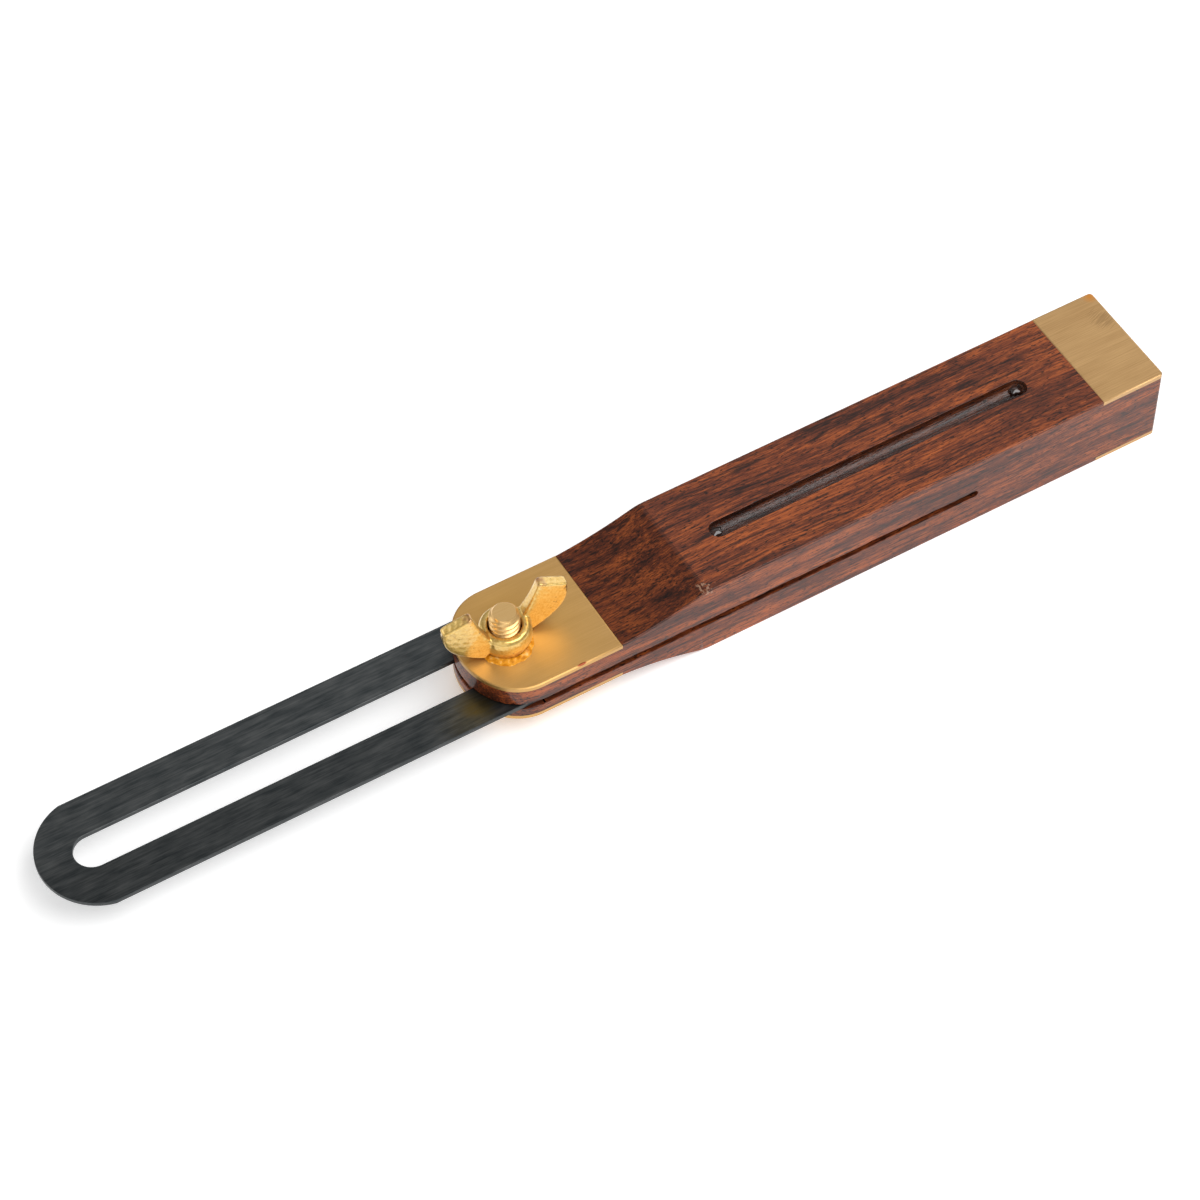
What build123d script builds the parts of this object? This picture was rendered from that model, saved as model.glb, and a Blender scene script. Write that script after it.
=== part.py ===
from build123d import *
import math
import os

# Sliding bevel: a wooden stock with brass wear plates, and a slotted steel blade that
# swings and slides on a clamping screw. X runs along the stock towards its butt, Z is up,
# and Z = 0 is the face that the stock rests on. Plan sketches are drawn from the pivot,
# so their planes start there. All sizes are in millimetres.

# Stock
stock_width = 25.0
stock_height = 18.0
nose_reach = 9.55  # pivot to the tip of the nose
butt_reach = 142.2  # pivot to the butt end
corner_radius = 9.5  # the two corners of the nose
corner_x = 1.0  # where the straight sides end
crest_x = 36.2  # where the cove of the neck meets the full height
crest_radius = 9.0  # softening of that crest
cove_slope = 0.1  # how steeply the cove leaves the front plates
butt_corner = 0.8  # eased corners at the butt

# Brass plates
plate_thickness = 1.0
front_plate_end = 18.28  # pivot to the straight end of the front plates
front_top = 14.0  # upper face of the top front plate
front_bottom = 4.45  # lower face of the bottom front plate
butt_plate_length = 14.3
plate_edge = 0.15  # broken edges of the plates

# Kerf that takes the blade, and the finger groove in the top face
kerf_height = 1.5
kerf_middle = 8.3  # height of its middle above the resting face
kerf_reach = 99.1  # pivot to its rounded end
groove_start = 44.8
groove_end = 117.4
groove_width = 3.9
groove_depth = 2.2
groove_side = -0.6  # how far it lies off the centre line
floor_radius = 1.6  # rounding between its floor and its walls

# Blade, drawn right out and clamped against one side of the screw
blade_width = 24.1
blade_thickness = 1.0
blade_side = 0.45  # how far it lies off the centre line
blade_reach = 97.3  # pivot to the tip
tip_radius = 12.4  # a little over half the width, which leaves slight corners
slot_width = 7.4
slot_reach = 90.3  # pivot to the outer end of the slot
slot_stop = 0.3  # the slot's inner end centre lies this far past the pivot

# Clamping screw, quarter inch by 20 threads per inch, with a slotted round head
screw_radius = 6.35 / 2
screw_top = 22.6  # height of the flat cut end
screw_end_radius = 2.3
screw_end_chamfer = 0.9
head_radius = 5.55
head_bottom = 0.2  # just clear of the surface that the stock rests on
head_rim = 0.5
drive_width = 1.6  # screwdriver slot
drive_depth = 1.9
fit_clearance = 0.05  # radial, for the turning fits

# Wing nut; heights are above the top front plate
hub_radius = 5.05
hub_height = 5.0
hub_shoulder = 4.5  # radius of the hub's top
hub_side = (5.2, 3.2)  # a point on the hub's rounded side: radius, height
foot_radius = 4.7
foot_height = 1.1
wing_thickness = 2.4

# Outline of a wing, leaning outwards: distance from the pivot, height
wing_inner_foot = (3.3, 4.3)
wing_inner_side = (5.6, 7.6)
wing_inner_corner = (7.4, 12.4)
wing_crown = (9.9, 12.6)
wing_outer_corner = (13.1, 10.2)
wing_outer_side = (11.2, 4.9)
wing_outer_foot = (5.0, 1.2)

# Allowance for finding an edge or a face by its place
near = 0.1

# Worked out from the above
half_width = stock_width / 2
half_blade = blade_width / 2
pivot_x = (blade_reach - butt_reach) / 2  # puts the origin under the middle of the tool
corner_y = half_width - corner_radius
nose_step = nose_reach - corner_radius
nose_centre = (corner_x**2 + corner_y**2 - nose_step**2) / (2 * (nose_step + corner_x))
nose_radius = nose_centre + nose_reach
nose_angle = math.degrees(math.atan2(corner_y, nose_centre - corner_x))
blade_bottom = kerf_middle - blade_thickness / 2
bore_radius = screw_radius + fit_clearance
butt_plate_start = butt_reach - butt_plate_length

os.makedirs("parts", exist_ok=True)


def level(height):
    """Horizontal plane at a height, drawn from the pivot."""
    return Plane(origin=(pivot_x, 0, height))


# upright planes seen from the front, with heights from the resting face and from the top front plate
side = Plane(origin=(pivot_x, 0, 0), x_dir=(1, 0, 0), z_dir=(0, -1, 0))
above_plate = Plane(origin=(pivot_x, 0, front_top), x_dir=(1, 0, 0), z_dir=(0, -1, 0))


def nose_outline(back):
    """Plan outline with a rounded nose and straight sides, closed at `back` from the pivot."""
    with BuildLine() as outline:
        CenterArc((nose_centre, 0), nose_radius, 180 - nose_angle, nose_angle)
        CenterArc((corner_x, corner_y), corner_radius, 90, 90 - nose_angle)
        Line((corner_x, half_width), (back, half_width))
        Line((back, half_width), (back, 0))
        mirror(about=Plane.XZ)
    return outline.line


def outer_face(top):
    """The face of a plate that shows: its highest one if `top`, else its lowest."""
    return faces().sort_by(Axis.Z)[-1 if top else 0]


with BuildPart() as stock:
    # side view: the neck between the front plates, the coves, the body and the butt rebates
    with BuildSketch(side):
        with BuildLine():
            Polyline(
                (-nose_reach, front_bottom + plate_thickness),
                (front_plate_end, front_bottom + plate_thickness),
                (front_plate_end, front_bottom),
            )
            TangentArc((front_plate_end, front_bottom), (crest_x, 0), tangent=(1, -cove_slope))
            Polyline(
                (crest_x, 0),
                (butt_plate_start, 0),
                (butt_plate_start, plate_thickness),
                (butt_reach, plate_thickness),
                (butt_reach, stock_height - plate_thickness),
                (butt_plate_start, stock_height - plate_thickness),
                (butt_plate_start, stock_height),
                (crest_x, stock_height),
            )
            TangentArc((front_plate_end, front_top), (crest_x, stock_height), tangent=(1, cove_slope))
            Polyline(
                (front_plate_end, front_top),
                (front_plate_end, front_top - plate_thickness),
                (-nose_reach, front_top - plate_thickness),
                (-nose_reach, front_bottom + plate_thickness),
            )
        make_face()
    extrude(amount=half_width, both=True)
    # the two crests are rounded over by hand
    cross_edges = edges().filter_by(Axis.Y)
    crest = pivot_x + crest_x
    fillet(cross_edges.filter_by_position(Axis.X, crest - near, crest + near), crest_radius)
    # plan view: the rounded nose and the eased butt corners
    with BuildSketch(level(0)):
        add(nose_outline(butt_reach))
        make_face()
        fillet(vertices().group_by(Axis.X)[-1], butt_corner)
    extrude(amount=stock_height, mode=Mode.INTERSECT)
    # kerf, open at the nose and along both sides, with a rounded end
    with BuildSketch(side):
        kerf_length = kerf_reach + nose_reach
        with Locations((kerf_reach - kerf_length, kerf_middle)):
            SlotOverall(2 * kerf_length, kerf_height)
    extrude(amount=half_width, both=True, mode=Mode.SUBTRACT)
    # bore for the screw, through both leaves
    with BuildSketch(level(0)):
        Circle(bore_radius)
    extrude(amount=stock_height, mode=Mode.SUBTRACT)
    # finger groove with a rounded bottom
    with BuildSketch(level(stock_height)):
        with Locations(((groove_start + groove_end) / 2, groove_side)):
            SlotOverall(groove_end - groove_start, groove_width)
    extrude(amount=-groove_depth, mode=Mode.SUBTRACT)
    groove_floor = stock_height - groove_depth
    level_faces = faces().filter_by(Plane.XY)
    floor_faces = level_faces.filter_by_position(Axis.Z, groove_floor - near, groove_floor + near)
    fillet(floor_faces[0].edges(), floor_radius)
stock.part.label = "stock"
export_step(stock.part, "parts/stock.step")

front_plates = (
    ("front_plate_top", front_top - plate_thickness),
    ("front_plate_bottom", front_bottom),
)
for plate_name, plate_bottom in front_plates:
    with BuildPart() as front_plate:
        with BuildSketch(level(plate_bottom)):
            add(nose_outline(front_plate_end))
            make_face()
            Circle(bore_radius, mode=Mode.SUBTRACT)
        extrude(amount=plate_thickness)
        chamfer(outer_face(plate_bottom > kerf_middle).outer_wire().edges(), plate_edge)
    front_plate.part.label = plate_name
    export_step(front_plate.part, f"parts/{plate_name}.step")

butt_plates = (
    ("butt_plate_top", stock_height - plate_thickness),
    ("butt_plate_bottom", 0),
)
for plate_name, plate_bottom in butt_plates:
    with BuildPart() as butt_plate:
        with BuildSketch(level(plate_bottom)):
            with Locations(((butt_plate_start + butt_reach) / 2, 0)):
                Rectangle(butt_plate_length, stock_width)
            fillet(vertices().group_by(Axis.X)[-1], butt_corner)
        extrude(amount=plate_thickness)
        chamfer(outer_face(plate_bottom > kerf_middle).edges(), plate_edge)
    butt_plate.part.label = plate_name
    export_step(butt_plate.part, f"parts/{plate_name}.step")

with BuildPart() as blade:
    tip_centre = tip_radius - blade_reach
    tip_angle = math.degrees(math.asin(half_blade / tip_radius))
    tip_corner = tip_centre - math.sqrt(tip_radius**2 - half_blade**2)
    slot_centre = slot_width / 2 - slot_reach
    with BuildSketch(Plane(origin=(pivot_x, blade_side, blade_bottom))):
        with BuildLine():
            CenterArc((tip_centre, 0), tip_radius, 180 - tip_angle, 2 * tip_angle)
            Line((tip_corner, half_blade), (0, half_blade))
            CenterArc((0, 0), half_blade, -90, 180)
            Line((0, -half_blade), (tip_corner, -half_blade))
        make_face()
        with Locations(((slot_centre + slot_stop) / 2, 0)):
            SlotCenterToCenter(slot_stop - slot_centre, slot_width, mode=Mode.SUBTRACT)
    extrude(amount=blade_thickness)
blade.part.label = "blade"
export_step(blade.part, "parts/blade.step")

with BuildPart() as pivot_screw:
    # turned outline: round head, shank and chamfered end
    with BuildSketch(side):
        with BuildLine():
            dome_top = front_bottom - head_rim
            dome_radius = (head_radius**2 + (dome_top - head_bottom) ** 2) / (2 * (dome_top - head_bottom))
            dome_angle = math.degrees(math.asin(head_radius / dome_radius))
            CenterArc((0, head_bottom + dome_radius), dome_radius, -90, dome_angle)
            Polyline(
                (head_radius, dome_top),
                (head_radius, front_bottom),
                (screw_radius, front_bottom),
                (screw_radius, screw_top - screw_end_chamfer),
                (screw_end_radius, screw_top),
                (0, screw_top),
                (0, head_bottom),
            )
        make_face()
    revolve(axis=Axis((pivot_x, 0, 0), (0, 0, 1)))
    with BuildSketch(level(0)):
        Rectangle(2 * head_radius, drive_width)
    extrude(amount=head_bottom + drive_depth, mode=Mode.SUBTRACT)
pivot_screw.part.label = "pivot_screw"
export_step(pivot_screw.part, "parts/pivot_screw.step")

with BuildPart() as wing_nut:
    # turned hub on a narrower foot
    with BuildSketch(above_plate):
        with BuildLine():
            Polyline((0, 0), (foot_radius, 0), (foot_radius, foot_height), (hub_radius, foot_height))
            ThreePointArc((hub_radius, foot_height), hub_side, (hub_shoulder, hub_height))
            Polyline((hub_shoulder, hub_height), (0, hub_height), (0, 0))
        make_face()
    revolve(axis=Axis((pivot_x, 0, 0), (0, 0, 1)))
    # one cast wing and its mirror image
    with BuildSketch(above_plate):
        with BuildLine():
            ThreePointArc(wing_inner_foot, wing_inner_side, wing_inner_corner)
            ThreePointArc(wing_inner_corner, wing_crown, wing_outer_corner)
            ThreePointArc(wing_outer_corner, wing_outer_side, wing_outer_foot)
            Line(wing_outer_foot, wing_inner_foot)
        make_face()
    extrude(amount=wing_thickness / 2, both=True)
    mirror(about=Plane(origin=(pivot_x, 0, 0), z_dir=(1, 0, 0)))
    with BuildSketch(level(front_top)):
        Circle(bore_radius)
    extrude(amount=screw_top, mode=Mode.SUBTRACT)
wing_nut.part.label = "wing_nut"
export_step(wing_nut.part, "parts/wing_nut.step")
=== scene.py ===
import math

import bmesh
import bpy
import numpy as np
from mathutils import Matrix, Vector


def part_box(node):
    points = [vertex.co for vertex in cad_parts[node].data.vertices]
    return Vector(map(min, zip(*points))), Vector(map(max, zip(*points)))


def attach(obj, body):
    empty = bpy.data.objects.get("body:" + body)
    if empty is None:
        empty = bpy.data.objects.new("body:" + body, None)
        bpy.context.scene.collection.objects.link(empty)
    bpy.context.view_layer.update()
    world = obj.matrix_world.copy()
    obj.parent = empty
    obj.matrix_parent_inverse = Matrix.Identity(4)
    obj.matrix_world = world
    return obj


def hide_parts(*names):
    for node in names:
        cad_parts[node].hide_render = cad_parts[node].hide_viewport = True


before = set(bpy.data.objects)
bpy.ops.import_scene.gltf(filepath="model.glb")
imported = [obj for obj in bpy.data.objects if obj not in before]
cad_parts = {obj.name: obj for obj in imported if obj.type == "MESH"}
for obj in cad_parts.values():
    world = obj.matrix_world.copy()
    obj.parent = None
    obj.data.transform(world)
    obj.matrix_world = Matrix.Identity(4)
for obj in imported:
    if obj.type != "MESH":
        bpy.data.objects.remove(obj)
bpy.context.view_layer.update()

# A sliding bevel: rosewood stock, brushed brass plates, blued blade, cast wing nut on a brass
# screw. Metres throughout; the dictionaries hold millimetres and mm turns them to metres.
mm = 0.001
same = 0.01 * mm  # places closer than this count as the same
weld = 0.001 * mm  # points closer than this become one
screwLow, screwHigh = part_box("pivot_screw")
pivot = Vector(((screwLow.x + screwHigh.x) / 2, (screwLow.y + screwHigh.y) / 2, 0))
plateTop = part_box("front_plate_top")[1].z
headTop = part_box("front_plate_bottom")[0].z  # the screw's head meets the bottom plate here
stockLow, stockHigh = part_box("stock")


def hexColour(code):
    # sRGB to linear: c / 12.92 up to 0.04045, above it ((c + 0.055) / 1.055) to the power 2.4
    parts = [int(code[i:i + 2], 16) / 255 for i in (1, 3, 5)]
    linear = [c / 12.92 if c <= 0.04045 else ((c + 0.055) / 1.055) ** 2.4 for c in parts]
    return (*linear, 1.0)


def plugIn(tree, node, inputs):
    # each named socket gets its value, or a link when the value is a socket
    for name, value in inputs.items():
        if isinstance(value, bpy.types.NodeSocket):
            tree.links.new(value, node.inputs[name])
        else:
            node.inputs[name].default_value = value


def addNode(tree, kind, inputs=None, ramp=None, **settings):
    # one node: its settings, its sockets and, on a ramp, its stops (the two ends before the rest)
    node = tree.nodes.new("ShaderNode" + kind)
    for name, value in settings.items():
        setattr(node, name, value)
    plugIn(tree, node, inputs or {})
    for number, (place, value) in enumerate(ramp or []):
        stops = node.color_ramp.elements
        stop = stops[number] if number < 2 else stops.new(place)
        stop.position = place
        stop.color = hexColour(value) if isinstance(value, str) else (value, value, value, 1)
    return node


def newMaterial(name):
    # an empty material with a Principled shader; returns the material, its tree and the shader
    material = bpy.data.materials.new(name)
    material.use_nodes = True
    tree = material.node_tree
    tree.nodes.clear()
    shader = addNode(tree, "BsdfPrincipled")
    addNode(tree, "OutputMaterial", {"Surface": shader.outputs[0]})
    return material, tree, shader


def noise(tree, pattern, shift=None, turn=None):
    # noise in object coordinates, shifted by a socket and turned by some degrees if asked; a
    # pattern is a patch's length, width and height in millimetres, detail, roughness, distortion
    sizes, detail, rough, distortion = pattern
    place = addNode(tree, "TexCoord").outputs["Object"]
    if shift is not None:
        place = addNode(tree, "VectorMath", {0: place, 1: shift}, operation="ADD").outputs[0]
    if turn is not None:
        turned = (0, 0, math.radians(turn))
        place = addNode(tree, "Mapping", {"Vector": place, "Rotation": turned}).outputs[0]
    scale = tuple(1 / (size * mm) for size in sizes)
    place = addNode(tree, "VectorMath", {0: place, 1: scale}, operation="MULTIPLY").outputs[0]
    return addNode(tree, "TexNoise", {"Vector": place, "Scale": 1, "Detail": detail,
                                      "Roughness": rough, "Distortion": distortion})


def ramp(tree, value, stops):
    return addNode(tree, "ValToRGB", {"Fac": value}, ramp=stops).outputs[0]


def times(tree, first, second):
    return addNode(tree, "Math", {0: first, 1: second}, operation="MULTIPLY").outputs[0]


def blend(tree, share, first, second):
    return addNode(tree, "Mix", {"Factor": share, 2: first, 3: second}).outputs[0]


def paint(tree, mask, under, colour):
    # a colour laid over another where the mask is 1
    return addNode(tree, "Mix", {"Factor": mask, 6: under, 7: hexColour(colour)},
                   data_type="RGBA").outputs[2]


def remap(tree, value, goal, span=(0, 1)):
    # a value that runs over the span made to run over the goal, and held at its ends
    return addNode(tree, "MapRange", {"Value": value, "From Min": span[0], "From Max": span[1],
                                      "To Min": goal[0], "To Max": goal[1]}).outputs[0]


def relief(tree, height, strength, depth):
    return addNode(tree, "Bump", {"Height": height, "Strength": strength,
                                  "Distance": depth * mm}).outputs[0]


def objectAxis(tree, axis):
    place = addNode(tree, "TexCoord").outputs["Object"]
    return addNode(tree, "SeparateXYZ", {"Vector": place}).outputs[axis]


def nearPoint(tree, point, reach, length):
    # 1 at a point given in millimetres from the pivot, falling to 0 so many millimetres away,
    # and length times further along X
    place = addNode(tree, "TexCoord").outputs["Object"]
    centre = (pivot.x + point[0] * mm, point[1] * mm, point[2] * mm)
    away = addNode(tree, "VectorMath", {0: place, 1: centre}, operation="SUBTRACT").outputs[0]
    away = addNode(tree, "VectorMath", {0: away, 1: (1 / length, 1, 1)}, operation="MULTIPLY")
    away = addNode(tree, "VectorMath", {0: away.outputs[0]}, operation="LENGTH")
    return remap(tree, away.outputs["Value"], (1.0, 0.0), (0, reach * mm))


def stain(tree, under, look, part):
    # a stain round one point, part of its strength a number or a noise that breaks it up; its
    # stops, if it has any, sharpen its edge
    mask = times(tree, nearPoint(tree, look["place"], look["reach"], look["length"]), part)
    if look["stops"]:
        mask = ramp(tree, mask, look["stops"])
    return paint(tree, mask, under, look["colour"])


# materials; the places of stains are in millimetres from the pivot
woodLook = {
    "figure": ((40, 3.2, 3.2), 4, 0.6, 0),  # broad colour bands
    "streak": ((4.4, 0.36, 0.36), 8, 0.72, 0.3),
    "vein": ((13, 0.75, 0.75), 4, 0.65, 0.4),  # inky lines
    "pore": ((1.3, 0.24, 0.24), 1, 0.5, 0),  # coarser than real pores (0.1 wide), to show
    "wander": ((38, 16, 16), 2, 0.5, 0),  # how the grain drifts
    "scratches": ((0.5, 1.2, 0.5), 4, 0.5, 0),
    "noiseMiddle": (0.5, 0.5, 0.5),
    "drift": 1.6,
    "turn": 1.0,  # degrees that the grain runs off the length of the stock
    "streakShare": 0.58,
    "bands": [(0.39, "#361b11"), (0.61, "#b05a28"), (0.48, "#68301a")],
    "veinStops": [(0.52, 0.0), (0.64, 0.8)],
    "poreStops": [(0.6, 0.0), (0.66, 0.85)],
    "ink": "#140c0a",
    "poreShare": 0.3,  # of the relief
    "scuff": {"place": (37.2, -11.4, 17.8), "reach": 6.0, "length": 1.0, "colour": "#a9856c",
              "stops": [(0.42, 0.0), (0.5, 0.7)]},  # knocked corner of the crest
    "surface": {"IOR": 1.5, "Coat IOR": 1.5},
}


def rosewood(name, coat, gloss, shade, depth=0.06, bump=0.12, glint=0.1, shine=(0.38, 0.55)):
    # Indian rosewood, planed, sanded and brushed with clear lacquer: orange-brown bands between
    # purplish dark ones, short dark pores along the grain, and a clear wet-looking skin over it
    # all. The lacquer wets the wood, so its own glint is small.
    material, tree, shader = newMaterial(name)
    look = woodLook
    centred = addNode(tree, "VectorMath", {0: noise(tree, look["wander"]).outputs["Color"],
                                           1: look["noiseMiddle"]}, operation="SUBTRACT")
    reach = look["drift"] * mm * 2
    shift = addNode(tree, "VectorMath", {0: centred.outputs[0], 1: (0, reach, reach)},
                    operation="MULTIPLY").outputs[0]
    figure, streak, vein, pore = (
        noise(tree, look[kind], shift, look["turn"]).outputs["Fac"]
        for kind in ("figure", "streak", "vein", "pore"))

    colour = ramp(tree, blend(tree, look["streakShare"], figure, streak), look["bands"])
    colour = paint(tree, ramp(tree, vein, look["veinStops"]), colour, look["ink"])
    colour = paint(tree, ramp(tree, pore, look["poreStops"]), colour, look["ink"])
    # shade scales the wood's colour down; on the neck it is partly painted shade
    colour = addNode(tree, "VectorMath", {0: colour, 1: (shade, shade, shade)},
                     operation="MULTIPLY").outputs[0]
    colour = stain(tree, colour, look["scuff"], noise(tree, look["scratches"]).outputs["Fac"])
    height = blend(tree, look["poreShare"], streak, pore)
    plugIn(tree, shader, {
        **look["surface"], "Base Color": colour, "Roughness": remap(tree, streak, shine),
        "Normal": relief(tree, height, bump, depth), "Specular IOR Level": glint,
        "Coat Weight": coat, "Coat Roughness": gloss})
    return material


brassLook = {
    "brush": ((14, 0.2, 0.2), 5, 0.7, 0),  # coarser than the strokes of 120 grit, to show
    "cloud": ((14, 6, 6), 2, 0.5, 0),  # slow changes of tone in the lacquer
    "strokes": ((5, 0.2, 0.2), 2, 0.5, 0),
    "strokeTurn": -21,
    "cloudShare": 0.3,
    "tones": [(0.36, "#b78f5c"), (0.64, "#d3ab75")],
    "full": 0.9,  # strength of the stains that nothing breaks up
    "amber": {"place": (2, 0, 14), "reach": 34, "length": 1.0, "colour": "#d4a352",
              "stops": None},  # warm tint round the nut: thick lacquer there, and a painted reflection of the nut
    "drip": {"place": (9.5, -12.3, 13.9), "reach": 0.75, "length": 4.0, "colour": "#8f2f0c",
             "stops": [(0.3, 0.0), (0.36, 0.9)]},
    "scratch": {"place": (140, 5.5, 18), "reach": 7, "length": 1.0, "colour": "#96744a",
                "stops": [(0.34, 0.0), (0.44, 0.5)]},  # careless strokes at the butt
    "corner": {"place": (141.4, 11.7, 18), "reach": 1.9, "length": 1.0, "colour": "#dc8c2e",
               "stops": None},
    "roughFrom": (0.3, 0.7),
    "rough": (0.39, 0.49),
    "relief": (0.12, 0.03),
    "surface": {"Metallic": 0.85,  # the lacquer scatters the rest
                "Anisotropic": 0.3, "Coat Weight": 0.25, "Coat Roughness": 0.18},
}


def brushed(tree, shader, look, brush, colour):
    # what brushed sheets share: strokes in the shine and the relief, and a shine stretched
    # across them by the mesh's own brushing map
    along = addNode(tree, "Tangent", direction_type="UV_MAP", uv_map="brushing")
    plugIn(tree, shader, {
        **look["surface"], "Base Color": colour, "Tangent": along.outputs[0],
        "Roughness": remap(tree, brush, look["rough"], look["roughFrom"]),
        "Normal": relief(tree, brush, *look["relief"])})


def brushedBrass():
    # Yellow brass sheet, brushed lengthwise and lacquered: fine lengthwise strokes, a soft
    # stretched shine, and a warmer tone round the nut, where the lacquer lies thick and where a
    # reflection of the nut is painted.
    material, tree, shader = newMaterial("brushedBrass")
    look = brassLook
    brush, cloud = (noise(tree, look[kind]).outputs["Fac"] for kind in ("brush", "cloud"))
    strokes = noise(tree, look["strokes"], turn=look["strokeTurn"]).outputs["Fac"]
    colour = ramp(tree, blend(tree, look["cloudShare"], brush, cloud), look["tones"])
    # the amber stain round the nut is partly a painted reflection of the nut
    for kind, part in (("amber", look["full"]), ("drip", cloud), ("scratch", strokes),
                       ("corner", look["full"])):
        colour = stain(tree, colour, look[kind], part)
    brushed(tree, shader, look, brush, colour)
    return material


steelLook = {
    "brush": ((8, 0.3, 0.3), 5, 0.7, 0),  # strokes are finer in truth, drawn coarser to show
    "blotch": ((5, 1.8, 1.8), 4, 0.5, 0),
    "blotchShare": 0.45,
    "tones": [(0.36, "#3e4345"), (0.66, "#666868")],
    "limbShade": 0.72,  # painted shade: the front limb is made this much darker, for the light falling on it less
    "limbShadeHalf": 5,  # and changes over this far either side of the middle
    "oil": {"place": (-10.2, -7.4, 8.8), "reach": 6.5, "length": 1.0, "colour": "#4c4426",
            "stops": [(0.15, 0.0), (0.4, 0.8)]},  # brown stain of old oil
    "roughFrom": (0.3, 0.7),
    "rough": (0.3, 0.46),
    "relief": (0.2, 0.03),
    "surface": {"Metallic": 1.0, "Anisotropic": 0.5},
}


def bluedSteel():
    # Spring steel strip, brushed lengthwise and blued: near black, with fine strokes, faint
    # blotches, and painted shade along the front limb.
    material, tree, shader = newMaterial("bluedSteel")
    look = steelLook
    brush, blotch = (noise(tree, look[kind]).outputs["Fac"] for kind in ("brush", "blotch"))
    colour = ramp(tree, blend(tree, look["blotchShare"], brush, blotch), look["tones"])
    # painted shade: the front limb darker than the back one
    half = look["limbShadeHalf"] * mm
    limbShade = remap(tree, objectAxis(tree, 1), (look["limbShade"], 1.0), (-half, half))
    colour = addNode(tree, "VectorMath", {0: colour, 1: limbShade}, operation="MULTIPLY").outputs[0]
    brushed(tree, shader, look, brush, stain(tree, colour, look["oil"], blotch))
    return material


nutLook = {
    "grit": ((0.45, 0.45, 0.45), 4, 0.5, 0),  # casting sand, tumbled down
    "pit": ((1.1, 1.1, 1.1), 3, 0.5, 0),
    "tones": [(0.3, "#dcae4e"), (0.65, "#eecb78")],
    "pitStops": [(0.66, 0.0), (0.72, 0.7)],
    "grime": "#7a4a1c",
    "rub": "#b07a4e",
    "rubHeight": (11.6, 12.6),  # above the plate: the wings' tops, where thumbs wear the lacquer
    "rubStops": [(0.15, 0.0), (0.5, 0.9)],
    "rough": (0.26, 0.34),
    "relief": (0.03, 0.03),
    "surface": {"Metallic": 0.78,  # the lacquer scatters the rest
                "Coat Weight": 0.9, "Coat Roughness": 0.09},
}


def castBrass():
    # Brass cast in sand, tumbled and dipped in golden lacquer: a soft lumpy shine, tiny pits,
    # grime in them.
    material, tree, shader = newMaterial("castBrass")
    look = nutLook
    grit, pit = (noise(tree, look[kind]).outputs["Fac"] for kind in ("grit", "pit"))
    colour = ramp(tree, grit, look["tones"])
    colour = paint(tree, ramp(tree, pit, look["pitStops"]), colour, look["grime"])
    tops = [plateTop + height * mm for height in look["rubHeight"]]
    worn = times(tree, remap(tree, objectAxis(tree, 2), (0, 1), tops), pit)
    colour = paint(tree, ramp(tree, worn, look["rubStops"]), colour, look["rub"])
    plugIn(tree, shader, {
        **look["surface"], "Base Color": colour, "Roughness": remap(tree, grit, look["rough"]),
        "Normal": relief(tree, grit, *look["relief"])})
    return material


screwSurface = {
    "marks": ((5, 0.2, 0.2), 4, 0.5, 0),
    "tones": [(0.3, "#f0c27c"), (0.7, "#f6cc8a")],
    "rough": (0.34, 0.4),
    "relief": (0.02, 0.02),
    "surface": {"Metallic": 1.0, "Coat Weight": 0.3, "Coat Roughness": 0.1},
}


def turnedBrass():
    # Brass bar, turned and threaded, then lacquered: bright, with faint tool marks.
    material, tree, shader = newMaterial("turnedBrass")
    look = screwSurface
    marks = noise(tree, look["marks"]).outputs["Fac"]
    plugIn(tree, shader, {
        **look["surface"], "Base Color": ramp(tree, marks, look["tones"]),
        "Roughness": remap(tree, marks, look["rough"]),
        "Normal": relief(tree, marks, *look["relief"])})
    return material


lacquerLook = {
    "spots": ((0.9, 0.9, 0.9), 3, 0.5, 0),
    "amber": [(0.36, "#cc7c12"), (0.7, "#ffd890"), (0.55, "#f6aa30")],
    "dark": [(0.35, "#120a07"), (0.65, "#3a1c12")],
    "relief": (0.3, 0.1),
    "surface": {"IOR": 1.5},
}


def pooledLacquer(name, stops, dullness, glint):
    # Lacquer that ran into a corner and set: glassy, clear amber over brass and near black over
    # dark wood.
    material, tree, shader = newMaterial(name)
    look = lacquerLook
    spots = noise(tree, look["spots"]).outputs["Fac"]
    plugIn(tree, shader, {
        **look["surface"], "Base Color": ramp(tree, spots, stops), "Roughness": dullness,
        "Specular IOR Level": glint, "Normal": relief(tree, spots, *look["relief"])})
    return material


paperLook = {
    "fibre": ((40, 40, 40), 2, 0.5, 0),
    "tones": [(0.3, "#f6f6f6"), (0.7, "#fafafa")],
    "surface": {"Roughness": 0.9, "Specular IOR Level": 0.1,
                "Emission Strength": 0.34},  # lit from beneath, which thins the shadows
}


def paperFloor():
    # Matt white paper on a light table: no shine, the faintest unevenness, a weak glow of its own.
    material, tree, shader = newMaterial("paperFloor")
    look = paperLook
    colour = ramp(tree, noise(tree, look["fibre"]).outputs["Fac"], look["tones"])
    plugIn(tree, shader, {**look["surface"], "Base Color": colour, "Emission Color": colour})
    return material


planedWood = rosewood("lacqueredRosewood", coat=0.55, gloss=0.08, shade=1.0)
sawnWood = rosewood("sawnRosewood", coat=0.0, gloss=0.3, shade=0.75, depth=0.3)
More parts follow.
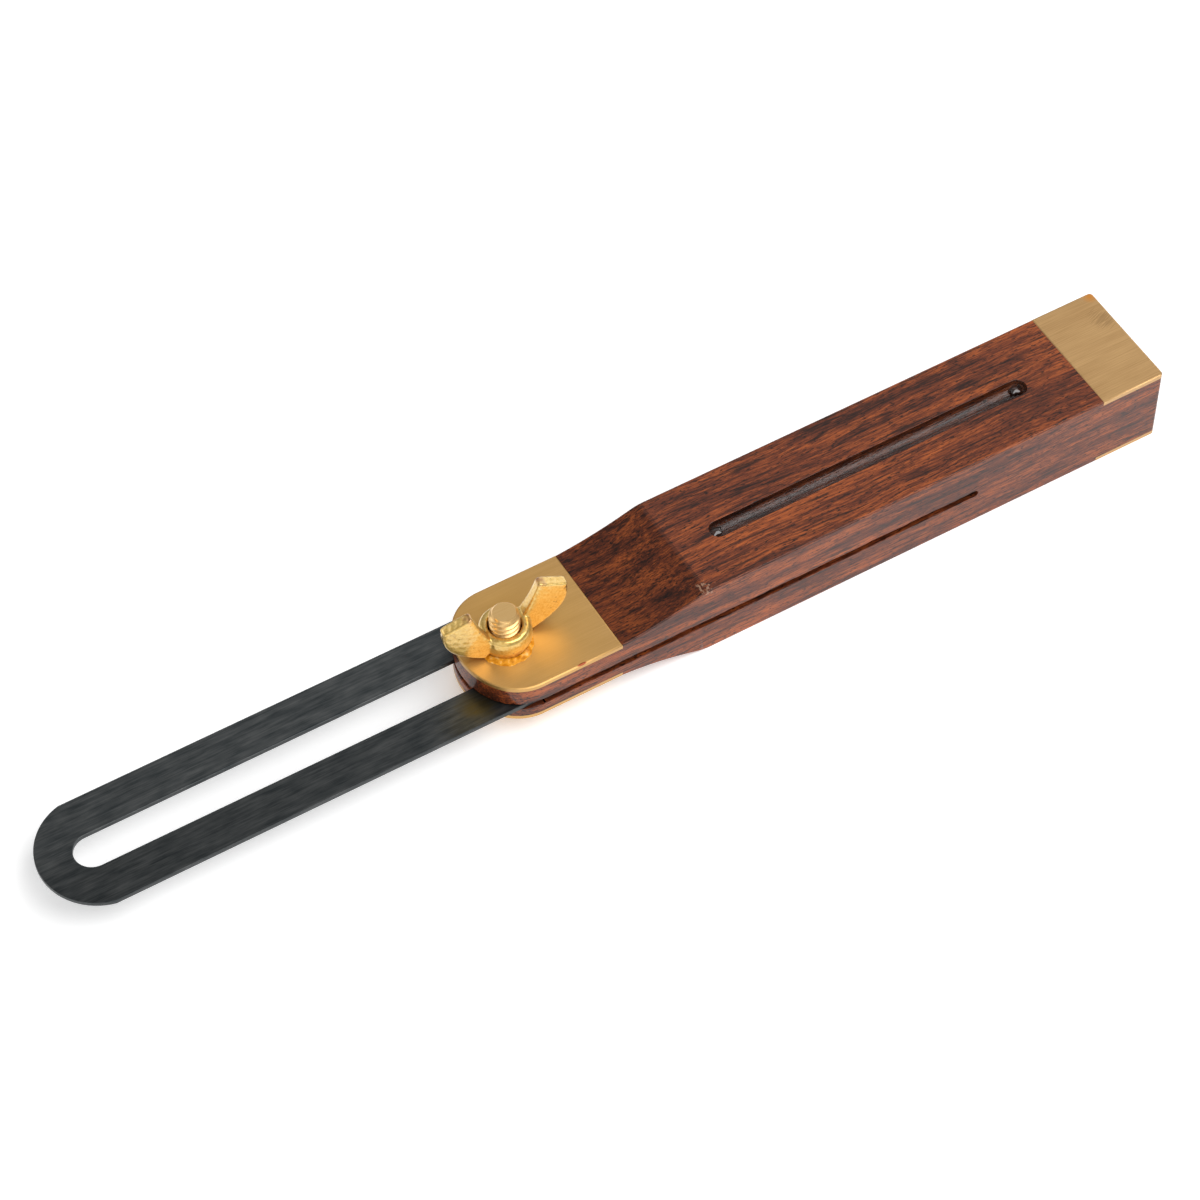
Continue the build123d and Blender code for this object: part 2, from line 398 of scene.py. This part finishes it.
# painted shade: the neck's upward faces get this darker wood (shade 0.64), standing in for the
# light that the hollow of the neck misses; the wood there is darker too
neckWoodPaintedShade = rosewood("neckRosewoodPaintedShade", coat=0.45, gloss=0.06, shade=0.64)
gougedWood = rosewood("gougedRosewood", coat=0.0, gloss=0.1, shade=0.34, depth=0.25, bump=0.9,
                      glint=0.7, shine=(0.12, 0.3))
brass = brushedBrass()
steel = bluedSteel()
nutBrass = castBrass()
screwBrass = turnedBrass()
amberLacquer = pooledLacquer("amberLacquer", lacquerLook["amber"], dullness=0.2, glint=0.2)
darkLacquer = pooledLacquer("darkLacquer", lacquerLook["dark"], dullness=0.04, glint=1.0)
print("materials made")


# building pieces
buildLook = {
    "flat": 0.3,  # degrees within which a CAD node's triangles make one flat face
    "corner": 30,  # degrees: sharper corners are rounded
    "crease": 9,  # degrees: sharper lines that are not rounded stay crisp
    "rows": 3,  # of faces across a rounded corner
    "flatWeight": 100,  # how far the flat faces rule the shading
}


def addPiece(name, mesh, materials, body, nodes=()):
    # puts a finished mesh in the scene, on its body and standing for its CAD nodes
    piece = bpy.data.objects.new(name, mesh)
    bpy.context.scene.collection.objects.link(piece)
    for material in materials:
        mesh.materials.append(material)
    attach(piece, body)
    if nodes:
        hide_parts(*nodes)
    return piece


def mergedCopy(node):
    # a CAD node's loose triangles joined up, with its flat faces made whole again
    made = bmesh.new()
    made.from_mesh(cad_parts[node].data)
    bmesh.ops.remove_doubles(made, verts=made.verts, dist=weld)
    bmesh.ops.dissolve_limit(made, angle_limit=math.radians(buildLook["flat"]),
                             verts=made.verts, edges=made.edges)
    return made


def sliceMesh(made, place, normal, clear=False):
    # cuts a mesh through by a plane, clearing what lies beyond it if asked
    everything = made.verts[:] + made.edges[:] + made.faces[:]
    return bmesh.ops.bisect_plane(made, geom=everything, plane_co=place, plane_no=normal,
                                  clear_outer=clear, dist=weld)


def finishMesh(made, name):
    # bmesh to mesh, shaded smooth but for its real corners
    mesh = bpy.data.meshes.new(name)
    made.to_mesh(mesh)
    made.free()
    mesh.shade_smooth()
    return mesh


def weighEdges(made, share):
    # each sharp corner gets its share of the rounding from share(edge), none at 0
    weight = made.edges.layers.float.new("bevel_weight_edge")
    for edge in made.edges:
        turn = math.degrees(edge.calc_face_angle(0))
        edge[weight] = share(edge) if turn > buildLook["corner"] else 0
        edge.smooth = turn < buildLook["crease"] or edge[weight] > 0


def softenEdges(piece, width, clamp=True):
    # rounds the weighed corners and keeps the flat faces flat in their shading
    bevel = piece.modifiers.new("softened", "BEVEL")
    bevel.width = width * mm
    bevel.segments = buildLook["rows"]
    bevel.limit_method = "WEIGHT"
    bevel.use_clamp_overlap = clamp
    flat = piece.modifiers.new("flat shading", "WEIGHTED_NORMAL")
    flat.mode = "FACE_AREA_WITH_ANGLE"
    flat.weight = buildLook["flatWeight"]
    flat.keep_sharp = True


def meshArray(mesh, kind):
    # the mesh's points or normals as rows of three
    values = np.empty(len(mesh.vertices) * 3)
    mesh.vertices.foreach_get(kind, values)
    return values.reshape(-1, 3)


def brushingMap(mesh):
    # UV map whose U runs across the strokes (along Y) and V along them (X), one unit to the metre
    layer = mesh.uv_layers.new(name="brushing")
    corners = np.empty(len(mesh.loops), dtype=np.int32)
    mesh.loops.foreach_get("vertex_index", corners)
    points = meshArray(mesh, "co")[corners]
    layer.uv.foreach_set("vector", points[:, (1, 0)].ravel())


def roundAngles(count):
    return np.linspace(0, 2 * np.pi, count, endpoint=False)


def gridMesh(name, grid, loopRows=False, poles=(None, None)):
    # A surface from a grid of points (rows along it, columns round it): each cell is one quad,
    # the columns close on themselves, the rows too if asked, and a pole closes an open end with
    # a fan of triangles.
    rows, columns = grid.shape[:2]
    index = np.arange(rows * columns).reshape(rows, columns)
    after = np.roll(index, -1, axis=1)
    upper, upperAfter = np.roll(index, -1, axis=0), np.roll(after, -1, axis=0)
    last = rows if loopRows else rows - 1
    quads = np.stack([index, after, upperAfter, upper], axis=-1)[:last].reshape(-1, 4)
    points = grid.reshape(-1, 3)
    faces = quads.tolist()
    for pole, row, turned in ((poles[0], 0, True), (poles[1], rows - 1, False)):
        if pole is not None:
            tip = len(points)
            points = np.vstack([points, pole])
            fan = np.stack([index[row], after[row], np.full(columns, tip)], axis=-1)
            faces += (fan[:, ::-1] if turned else fan).tolist()
    mesh = bpy.data.meshes.new(name)
    mesh.from_pydata(points.tolist(), [], faces)
    made = bmesh.new()
    made.from_mesh(mesh)
    bmesh.ops.recalc_face_normals(made, faces=made.faces)
    made.to_mesh(mesh)
    made.free()
    mesh.shade_smooth()
    return mesh


def curveThrough(start, middle, end, t):
    # parabola through three points: (1-t)^2 start + 2t(1-t) control + t^2 end, with the control
    # at twice the middle less the mean of the ends
    start, middle, end = (np.array(p, float) for p in (start, middle, end))
    control = 2 * middle - (start + end) / 2
    t = t[:, None]
    return (1 - t) ** 2 * start + 2 * t * (1 - t) * control + t ** 2 * end


# stock
plateNodes = ("front_plate_top", "front_plate_bottom", "butt_plate_top", "butt_plate_bottom")
stockLook = {
    "step": 0.9,  # spacing of the cuts that let the sawn kerf waver
    "waver": 0.1,
    "waves": ((11.0, 0.45, 0.3), (4.7, 0.3, 1.9), (2.3, 0.25, 4.0), (1.3, 0.2, 0.7)),
    "lipShift": 37,  # sets the two lips at different places along the waves
    "edge": 0.3,
    "weld": 0.06,  # points closer than this would pinch the rounded edges
    "kerfMiddle": 8.3,
    "kerfHeight": 1.5,
    "kerfSlack": 0.02,
    "crest": 37.0,  # the hollow of the neck ends here
    "grooveEnds": (44.8, 117.4),
    "grooveSide": -0.6,
    "grooveReach": 2.1,
    "grooveSunk": 0.05,  # below the top of the stock
    "grooveRise": 4,  # above the kerf's middle
    "facing": 0.5,  # share of a face's normal along an axis, from which it faces that way
    "seatSlack": 0.05,
    "kerfShare": 0.2,  # how much of the rounding the lips of the kerf and the groove get
    "grooveShare": 0.35,
}
kerfFace, grooveFace, neckFace = 1, 2, 3  # places in the stock's list of materials, after 0


def waver(along):
    # uneven line of a hand-held saw: sines of falling length and height, about -1 to 1 in all
    return sum(height * np.sin(2 * np.pi * along / length + start)
               for length, height, start in stockLook["waves"])


def faceKind(face, look):
    # which of the stock's woods a face shows
    spot = face.calc_center_median()
    middle, half = look["kerfMiddle"] * mm, look["kerfHeight"] / 2 * mm
    start, end = (pivot.x + x * mm for x in look["grooveEnds"])
    if (abs(spot.z - middle) < half + look["kerfSlack"] * mm
            and abs(face.normal.y) < look["facing"]):
        return kerfFace
    low, high = middle + look["grooveRise"] * mm, stockHigh.z - look["grooveSunk"] * mm
    aside = abs(spot.y - look["grooveSide"] * mm)
    if start < spot.x < end and aside < look["grooveReach"] * mm and low < spot.z < high:
        return grooveFace
    # the neck's upward faces take the wood with painted shade
    onNeck = spot.x < pivot.x + look["crest"] * mm and spot.z > middle
    return neckFace if onNeck and face.normal.z > look["facing"] else 0


def makeStock():
    look = stockLook
    made = mergedCopy("stock")
    for cut in np.arange(stockLow.x / mm + look["step"], stockHigh.x / mm - look["step"],
                         look["step"]):
        sliceMesh(made, (cut * mm, 0, 0), (1, 0, 0))
    middle, half = look["kerfMiddle"] * mm, look["kerfHeight"] / 2 * mm
    for side in (-1, 1):
        lips = [v for v in made.verts if abs(v.co.z - middle - side * half) < same]
        along = np.array([v.co.x for v in lips]) / mm + look["lipShift"] * side
        shifts = waver(along) * look["waver"] * mm
        for vertex, shift in zip(lips, shifts):
            vertex.co.z += shift
    bmesh.ops.remove_doubles(made, verts=made.verts, dist=look["weld"] * mm)
    for face in made.faces:
        face.material_index = faceKind(face, look)

    seats = [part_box(plate) for plate in plateNodes]
    slack = look["seatSlack"] * mm

    def share(edge):
        # nothing where a plate lies against the wood, little at the lips of the kerf and groove
        for low, high in seats:
            if all(low[k] - slack <= v.co[k] <= high[k] + slack
                   for v in edge.verts for k in range(3)):
                return 0
        kinds = [face.material_index for face in edge.link_faces]
        if kerfFace in kinds:
            return look["kerfShare"]
        return look["grooveShare"] if grooveFace in kinds else 1

    weighEdges(made, share)
    woods = [planedWood, sawnWood, gougedWood, neckWoodPaintedShade]
    mesh = finishMesh(made, "stock_wood")
    piece = addPiece("stock_wood", mesh, woods, "stock", ["stock"])
    softenEdges(piece, look["edge"], clamp=False)


makeStock()
print("stock made")


# plates and blade
plateLook = {
    "edge": 0.4,
    "buttShare": 0.4,  # the butt plates are filed less round
    "jointShare": 0.1,  # where a plate meets the wood end to end
}


def makePlate(node):
    look = plateLook
    made = mergedCopy(node)
    low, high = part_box(node)
    outside = high.z if "top" in node else low.z
    joint = high.x if "front" in node else low.x
    whole = 1 if "front" in node else look["buttShare"]

    def share(edge):
        # the outside rim is rounded, the joint hardly, the face that is glued down not at all
        onRim = all(abs(v.co.z - outside) < same for v in edge.verts)
        atJoint = all(abs(v.co.x - joint) < same for v in edge.verts)
        return 0 if not onRim else look["jointShare"] if atJoint else whole

    weighEdges(made, share)
    mesh = finishMesh(made, node + "_sheet")
    brushingMap(mesh)
    piece = addPiece(node + "_sheet", mesh, [brass], "stock", [node])
    softenEdges(piece, look["edge"])


for plate in plateNodes:
    makePlate(plate)

bladeLook = {"edge": 0.12}
bladeMade = mergedCopy("blade")
weighEdges(bladeMade, lambda edge: 1)
bladeMesh = finishMesh(bladeMade, "blade_strip")
brushingMap(bladeMesh)
bladePiece = addPiece("blade_strip", bladeMesh, [steel], "blade", ["blade"])
softenEdges(bladePiece, bladeLook["edge"])
print("plates and blade made")


# screw
screwLook = {
    "radius": 3.0,
    "depth": 0.66,
    "pitch": 1.27,
    "endRadius": 2.25,
    "endChamfer": 0.9,
    "buried": 0.3,  # the thread starts this far inside the head
    "around": 96,
    "perTurn": 16,
    "sharp": 42,  # degrees
    "headKept": 0.1,  # the head is kept to this far above its seat
    "headEdge": 0.15,
}


def makeScrew():
    # Threaded rod, its crests rounded by lacquer: at height z and angle a the radius is the crest
    # less depth (1 + cos 2 pi p) / 2, with the phase p = z / pitch - a / 2 pi, and never more
    # than the end's cone.
    look = screwLook
    top, foot = screwHigh.z / mm, headTop / mm - look["buried"]
    height = np.linspace(foot, top, int((top - foot) / look["pitch"] * look["perTurn"]))
    a, z = np.meshgrid(roundAngles(look["around"]), height)
    phase = (z / look["pitch"] - a / (2 * np.pi)) % 1
    radius = look["radius"] - look["depth"] * (1 + np.cos(2 * np.pi * phase)) / 2
    slope = (look["radius"] - look["endRadius"]) / look["endChamfer"]
    radius = np.minimum(radius, look["endRadius"] + (top - z) * slope)
    grid = np.stack([radius * np.cos(a), radius * np.sin(a), z], axis=-1) * mm
    grid += np.array(pivot)
    poles = [np.array([pivot.x, pivot.y, end * mm]) for end in (foot, top)]
    mesh = gridMesh("screw_thread", grid, poles=poles)
    mesh.set_sharp_from_angle(angle=math.radians(look["sharp"]))
    addPiece("screw_thread", mesh, [screwBrass], "screw", ["pivot_screw"])

    head = mergedCopy("pivot_screw")  # the slotted head is the CAD one, cut off above its seat
    cut = sliceMesh(head, (0, 0, headTop + look["headKept"] * mm), (0, 0, 1), clear=True)
    rim = [edge for edge in cut["geom_cut"] if isinstance(edge, bmesh.types.BMEdge)]
    bmesh.ops.edgenet_fill(head, edges=rim)
    weighEdges(head, lambda edge: 1)
    mesh = finishMesh(head, "screw_head")
    softenEdges(addPiece("screw_head", mesh, [screwBrass], "screw"),
                look["headEdge"])


makeScrew()
print("screw made")


# wing nut
nutShape = {
    "hub": [(3.3, 0), (4.7, 0), (4.7, 1.05), (5.05, 1.15), (5.25, 2.2), (5.2, 3.4),
            (4.95, 4.4), (4.5, 4.95), (4.1, 5.05), (3.6, 5.05), (3.3, 4.9)],
    "hubRows": 90, "around": 96,
    "innerFoot": (2.9, 3.4), "innerSide": (5.3, 7.4), "innerCorner": (7.1, 12.0),
    "outerFoot": (5.4, 0.3), "outerSide": (11.5, 4.4), "outerCorner": (13.0, 9.7),
    "thickFoot": 3.3, "thickTop": 2.3,
    "twist": -9.7,  # degrees that each wing turns about its own middle, for the thumb
    "middle": 9.7,
    "square": 6.0,  # power of the wing's section: 2 is an ellipse, more is squarer
    "wingRows": 60, "wingAround": 64, "crownRows": 12,
    "crownLean": (0.3, 0.95), "crownHeight": 0.8,
    "voxel": 0.15,
    "smoothing": 7, "smoothShare": 0.5,
    "lump": 0.025, "lumpStart": 1.0,
    "slants": [[2.1, 0.7, 1.3], [-0.9, 2.4, 0.8], [0.6, -1.2, 2.6]],
}


def nutHub():
    # body of revolution: the outline's points at even spacing, turned about the screw's axis
    look = nutShape
    corners = np.array(look["hub"] + look["hub"][:1], float)
    along = np.concatenate([[0], np.cumsum(np.hypot(*np.diff(corners, axis=0).T))])
    even = np.linspace(0, along[-1], look["hubRows"], endpoint=False)
    radius, height = (np.interp(even, along, corners[:, k])[:, None] for k in (0, 1))
    angle = roundAngles(look["around"])
    return np.stack([radius * np.cos(angle), radius * np.sin(angle),
                     np.repeat(height, look["around"], axis=1)], axis=-1)


def nutWing(sign):
    # A squared oval carried up between two curves: centre = mean of the inner and outer curve,
    # half width = half their difference, half thickness eases from foot to top, and the crown
    # closes as a squared dome.
    look = nutShape
    rows, square = look["wingRows"], look["square"]
    t = np.linspace(0, 1, rows)
    inner, outer = (curveThrough(*(look[edge + spot] for spot in ("Foot", "Side", "Corner")), t)
                    for edge in ("inner", "outer"))
    centre, half = (inner + outer) / 2, (outer - inner) / 2
    thick = (look["thickFoot"] + (look["thickTop"] - look["thickFoot"]) * t) / 2
    s = roundAngles(look["wingAround"])
    wide, deep = (np.sign(wave) * np.abs(wave) ** (2 / square) for wave in (np.cos(s), np.sin(s)))
    u = np.linspace(0, 1, look["crownRows"])[1:-1]
    shrink = np.concatenate([np.ones(rows), (1 - u ** square) ** (1 / square)])
    rise = np.array(look["crownLean"]) * look["crownHeight"]
    lift = np.concatenate([np.zeros(rows), u])
    centre, half = (np.vstack([row, np.repeat(row[-1:], len(u), axis=0)])
                    for row in (centre, half))
    centre, half = centre + lift[:, None] * rise, half * shrink[:, None]
    thick = np.concatenate([thick, np.full(len(u), thick[-1])]) * shrink
    across = centre[:, None, :] + half[:, None, :] * wide[None, :, None]
    twist = math.radians(look["twist"])
    x, y = across[..., 0] - look["middle"], thick[:, None] * deep[None, :]
    turnedX = look["middle"] + x * math.cos(twist) - y * math.sin(twist)
    turnedY = x * math.sin(twist) + y * math.cos(twist)
    grid = np.stack([sign * turnedX, sign * turnedY, across[..., 1]], axis=-1)
    return grid, np.stack([grid[0].mean(axis=0), grid[-1].mean(axis=0)])


def makeNut():
    # hub and wings fused by a fine remesh, filleted by smoothing, then lumped like a casting:
    # the product of three sines, each along a different slant
    look = nutShape
    place = np.array([pivot.x, pivot.y, plateTop])
    parts = [gridMesh("hub", nutHub() * mm + place, loopRows=True)]
    for sign in (-1, 1):
        grid, poles = nutWing(sign)
        parts.append(gridMesh("wing", grid * mm + place, poles=poles * mm + place))
    made = bmesh.new()
    for part in parts:
        made.from_mesh(part)
    mesh = bpy.data.meshes.new("nut_cast")
    made.to_mesh(mesh)
    made.free()
    rough = bpy.data.objects.new("nut_rough", mesh)
    bpy.context.scene.collection.objects.link(rough)
    fuse = rough.modifiers.new("fused", "REMESH")
    fuse.mode = "VOXEL"
    fuse.voxel_size = look["voxel"] * mm
    smooth = rough.modifiers.new("filleted", "SMOOTH")
    smooth.factor = look["smoothShare"]
    smooth.iterations = look["smoothing"]
    graph = bpy.context.evaluated_depsgraph_get()
    fused = bpy.data.meshes.new_from_object(rough.evaluated_get(graph))
    bpy.data.objects.remove(rough)
    points = meshArray(fused, "co")
    slanted = points / mm @ np.array(look["slants"]).T
    lumps = np.prod(np.sin(slanted + look["lumpStart"]), axis=1)
    points += meshArray(fused, "normal") * lumps[:, None] * look["lump"] * mm
    fused.vertices.foreach_set("co", points.ravel())
    fused.shade_smooth()
    addPiece("wing_nut_cast", fused, [nutBrass], "nut", ["wing_nut"])


makeNut()
print("wing nut made")


# pooled lacquer round the nut's foot
poolLook = {
    "inner": 4.74,
    "outer": 5.1,
    "near": 1.15,  # how far the front swells
    "nearTurn": 0.35,
    "height": 0.45,
    "lobe": 0.16,
    "ripples": ((9, 0.6, 0.6), (17, 2, 0.4)),  # waves round the rim, start and share of each
    "fall": 1.2,
    "sway": (0.8, 0.2, 5),  # mean, swing and number of the waves in the height
    "under": -0.02,
    "around": 160, "rows": 14,
}


def makePool():
    # Ring on the plate: from the inner radius to an outer one that swells towards the front and
    # ripples, its height falling as (1 - s)^fall from the foot outwards, closed underneath.
    look = poolLook
    angle = roundAngles(look["around"])
    ripple = look["lobe"] * sum(np.sin(waves * angle + start) * part
                                for waves, start, part in look["ripples"])
    swell = look["near"] * np.maximum(0, -np.sin(angle + look["nearTurn"]))
    outer = look["outer"] + swell + ripple
    s = np.linspace(0, 1, look["rows"])[:, None]
    mean, swing, waves = look["sway"]
    radius = look["inner"] + (outer[None, :] - look["inner"]) * s
    height = look["height"] * (1 - s) ** look["fall"] * (mean + swing * np.sin(waves * angle))
    radius = np.vstack([radius, radius[[-1, 0]]])
    height = np.vstack([height, np.full((2, len(angle)), look["under"])])
    grid = np.stack([radius * np.cos(angle), radius * np.sin(angle), height], axis=-1) * mm
    grid += np.array([pivot.x, pivot.y, plateTop])
    addPiece("nut_lacquer", gridMesh("nut_lacquer", grid, loopRows=True), [amberLacquer],
             "stock")


makePool()

grooveDrops = {
    "places": ((46.5, 0.2, 16.4), (115.6, 0.2, 16.4)),  # from the pivot
    "half": (1.35, 1.1, 0.55),  # half sizes of a drop
    "swell": 0.25,
    "rings": 26, "spokes": 40,
}


def makeDrop(number, place):
    # Drop of set lacquer: a unit ball of rings and spokes, swollen by
    # 1 + k sin (2a + n) cos b cos 3a for the drop n, spoke a and ring b, then flattened
    look = grooveDrops
    b = np.linspace(-np.pi / 2, np.pi / 2, look["rings"])[1:-1]
    spokes, rings = np.meshgrid(roundAngles(look["spokes"]), b)
    size = 1 + look["swell"] * np.sin(2 * spokes + number) * np.cos(rings) * np.cos(3 * spokes)
    ball = np.stack([size * np.cos(rings) * np.cos(spokes),
                     size * np.cos(rings) * np.sin(spokes), np.sin(rings)], axis=-1)
    centre = np.array([pivot.x / mm + place[0], place[1], place[2]])
    half = np.array(look["half"])
    poles = [(centre + half * (0, 0, side)) * mm for side in (-1, 1)]
    name = "groove_drop_%d" % number
    mesh = gridMesh(name, (ball * half + centre) * mm, poles=poles)
    addPiece(name, mesh, [darkLacquer], "stock")


for number, place in enumerate(grooveDrops["places"]):
    makeDrop(number, place)
print("pooled lacquer made")


# floor, light and camera
studio = {
    "floor": 3.0,
    "world": 0.3,
    "lights": (  # place, width and depth, watts
        ("overhead", (0.3, -0.45, 1.0), (1.3, 0.9), 12),
        ("behind", (0.75, 0.75, 0.95), (1.1, 1.0), 1.2),
        ("front", (-0.9, -0.9, 0.7), (1.2, 0.9), 2.4),
        ("farLeft", (-0.9, 1.1, 0.9), (0.7, 0.7), 2.6),
        ("farRight", (1.4, 0.8, 0.5), (0.7, 0.7), 1.8),
    ),
    "lens": 120,
    "sensor": 36,
    "azimuth": -30.59,
    "elevation": 52.64,
    "roll": -0.20,
    "eye": (-236.20, -396.64, 615.85),
}
half = studio["floor"]
corners = [(-half, -half, 0), (half, -half, 0), (half, half, 0), (-half, half, 0)]
floorMesh = bpy.data.meshes.new("floor")
floorMesh.from_pydata(corners, [], [(0, 1, 2, 3)])
floorMesh.materials.append(paperFloor())
floor = bpy.data.objects.new("floor", floorMesh)
bpy.context.scene.collection.objects.link(floor)

world = bpy.data.worlds.new("studio")
bpy.context.scene.world = world
world.use_nodes = True
world.node_tree.nodes["Background"].inputs["Color"].default_value = (1, 1, 1, 1)
world.node_tree.nodes["Background"].inputs["Strength"].default_value = studio["world"]


def softbox(name, place, size, watts):
    # a square diffuse light, turned to face the middle of the part
    light = bpy.data.lights.new(name, "AREA")
    light.shape = "RECTANGLE"
    light.size, light.size_y = size
    light.energy = watts
    lamp = bpy.data.objects.new(name, light)
    lamp.location = place
    lamp.rotation_euler = Vector(place).to_track_quat("Z", "Y").to_euler()
    bpy.context.scene.collection.objects.link(lamp)


for settings in studio["lights"]:
    softbox(*settings)

azimuth, elevation, roll = (math.radians(studio[k]) for k in ("azimuth", "elevation", "roll"))
forward = Vector((-math.sin(azimuth) * math.cos(elevation),
                  math.cos(azimuth) * math.cos(elevation), -math.sin(elevation)))
right = Vector((math.cos(azimuth), math.sin(azimuth), 0))
up = right.cross(forward)
level = right * math.cos(roll) + up * math.sin(roll)
upright = up * math.cos(roll) - right * math.sin(roll)
lens = bpy.data.cameras.new("camera")
lens.lens = studio["lens"]
lens.sensor_width = studio["sensor"]
camera = bpy.data.objects.new("camera", lens)
turn = Matrix((level, upright, -forward)).transposed()
camera.matrix_world = Matrix.Translation(Vector(studio["eye"]) * mm) @ turn.to_4x4()
bpy.context.scene.collection.objects.link(camera)
bpy.context.scene.camera = camera
bpy.context.scene.view_settings.view_transform = "Standard"
print("studio made")
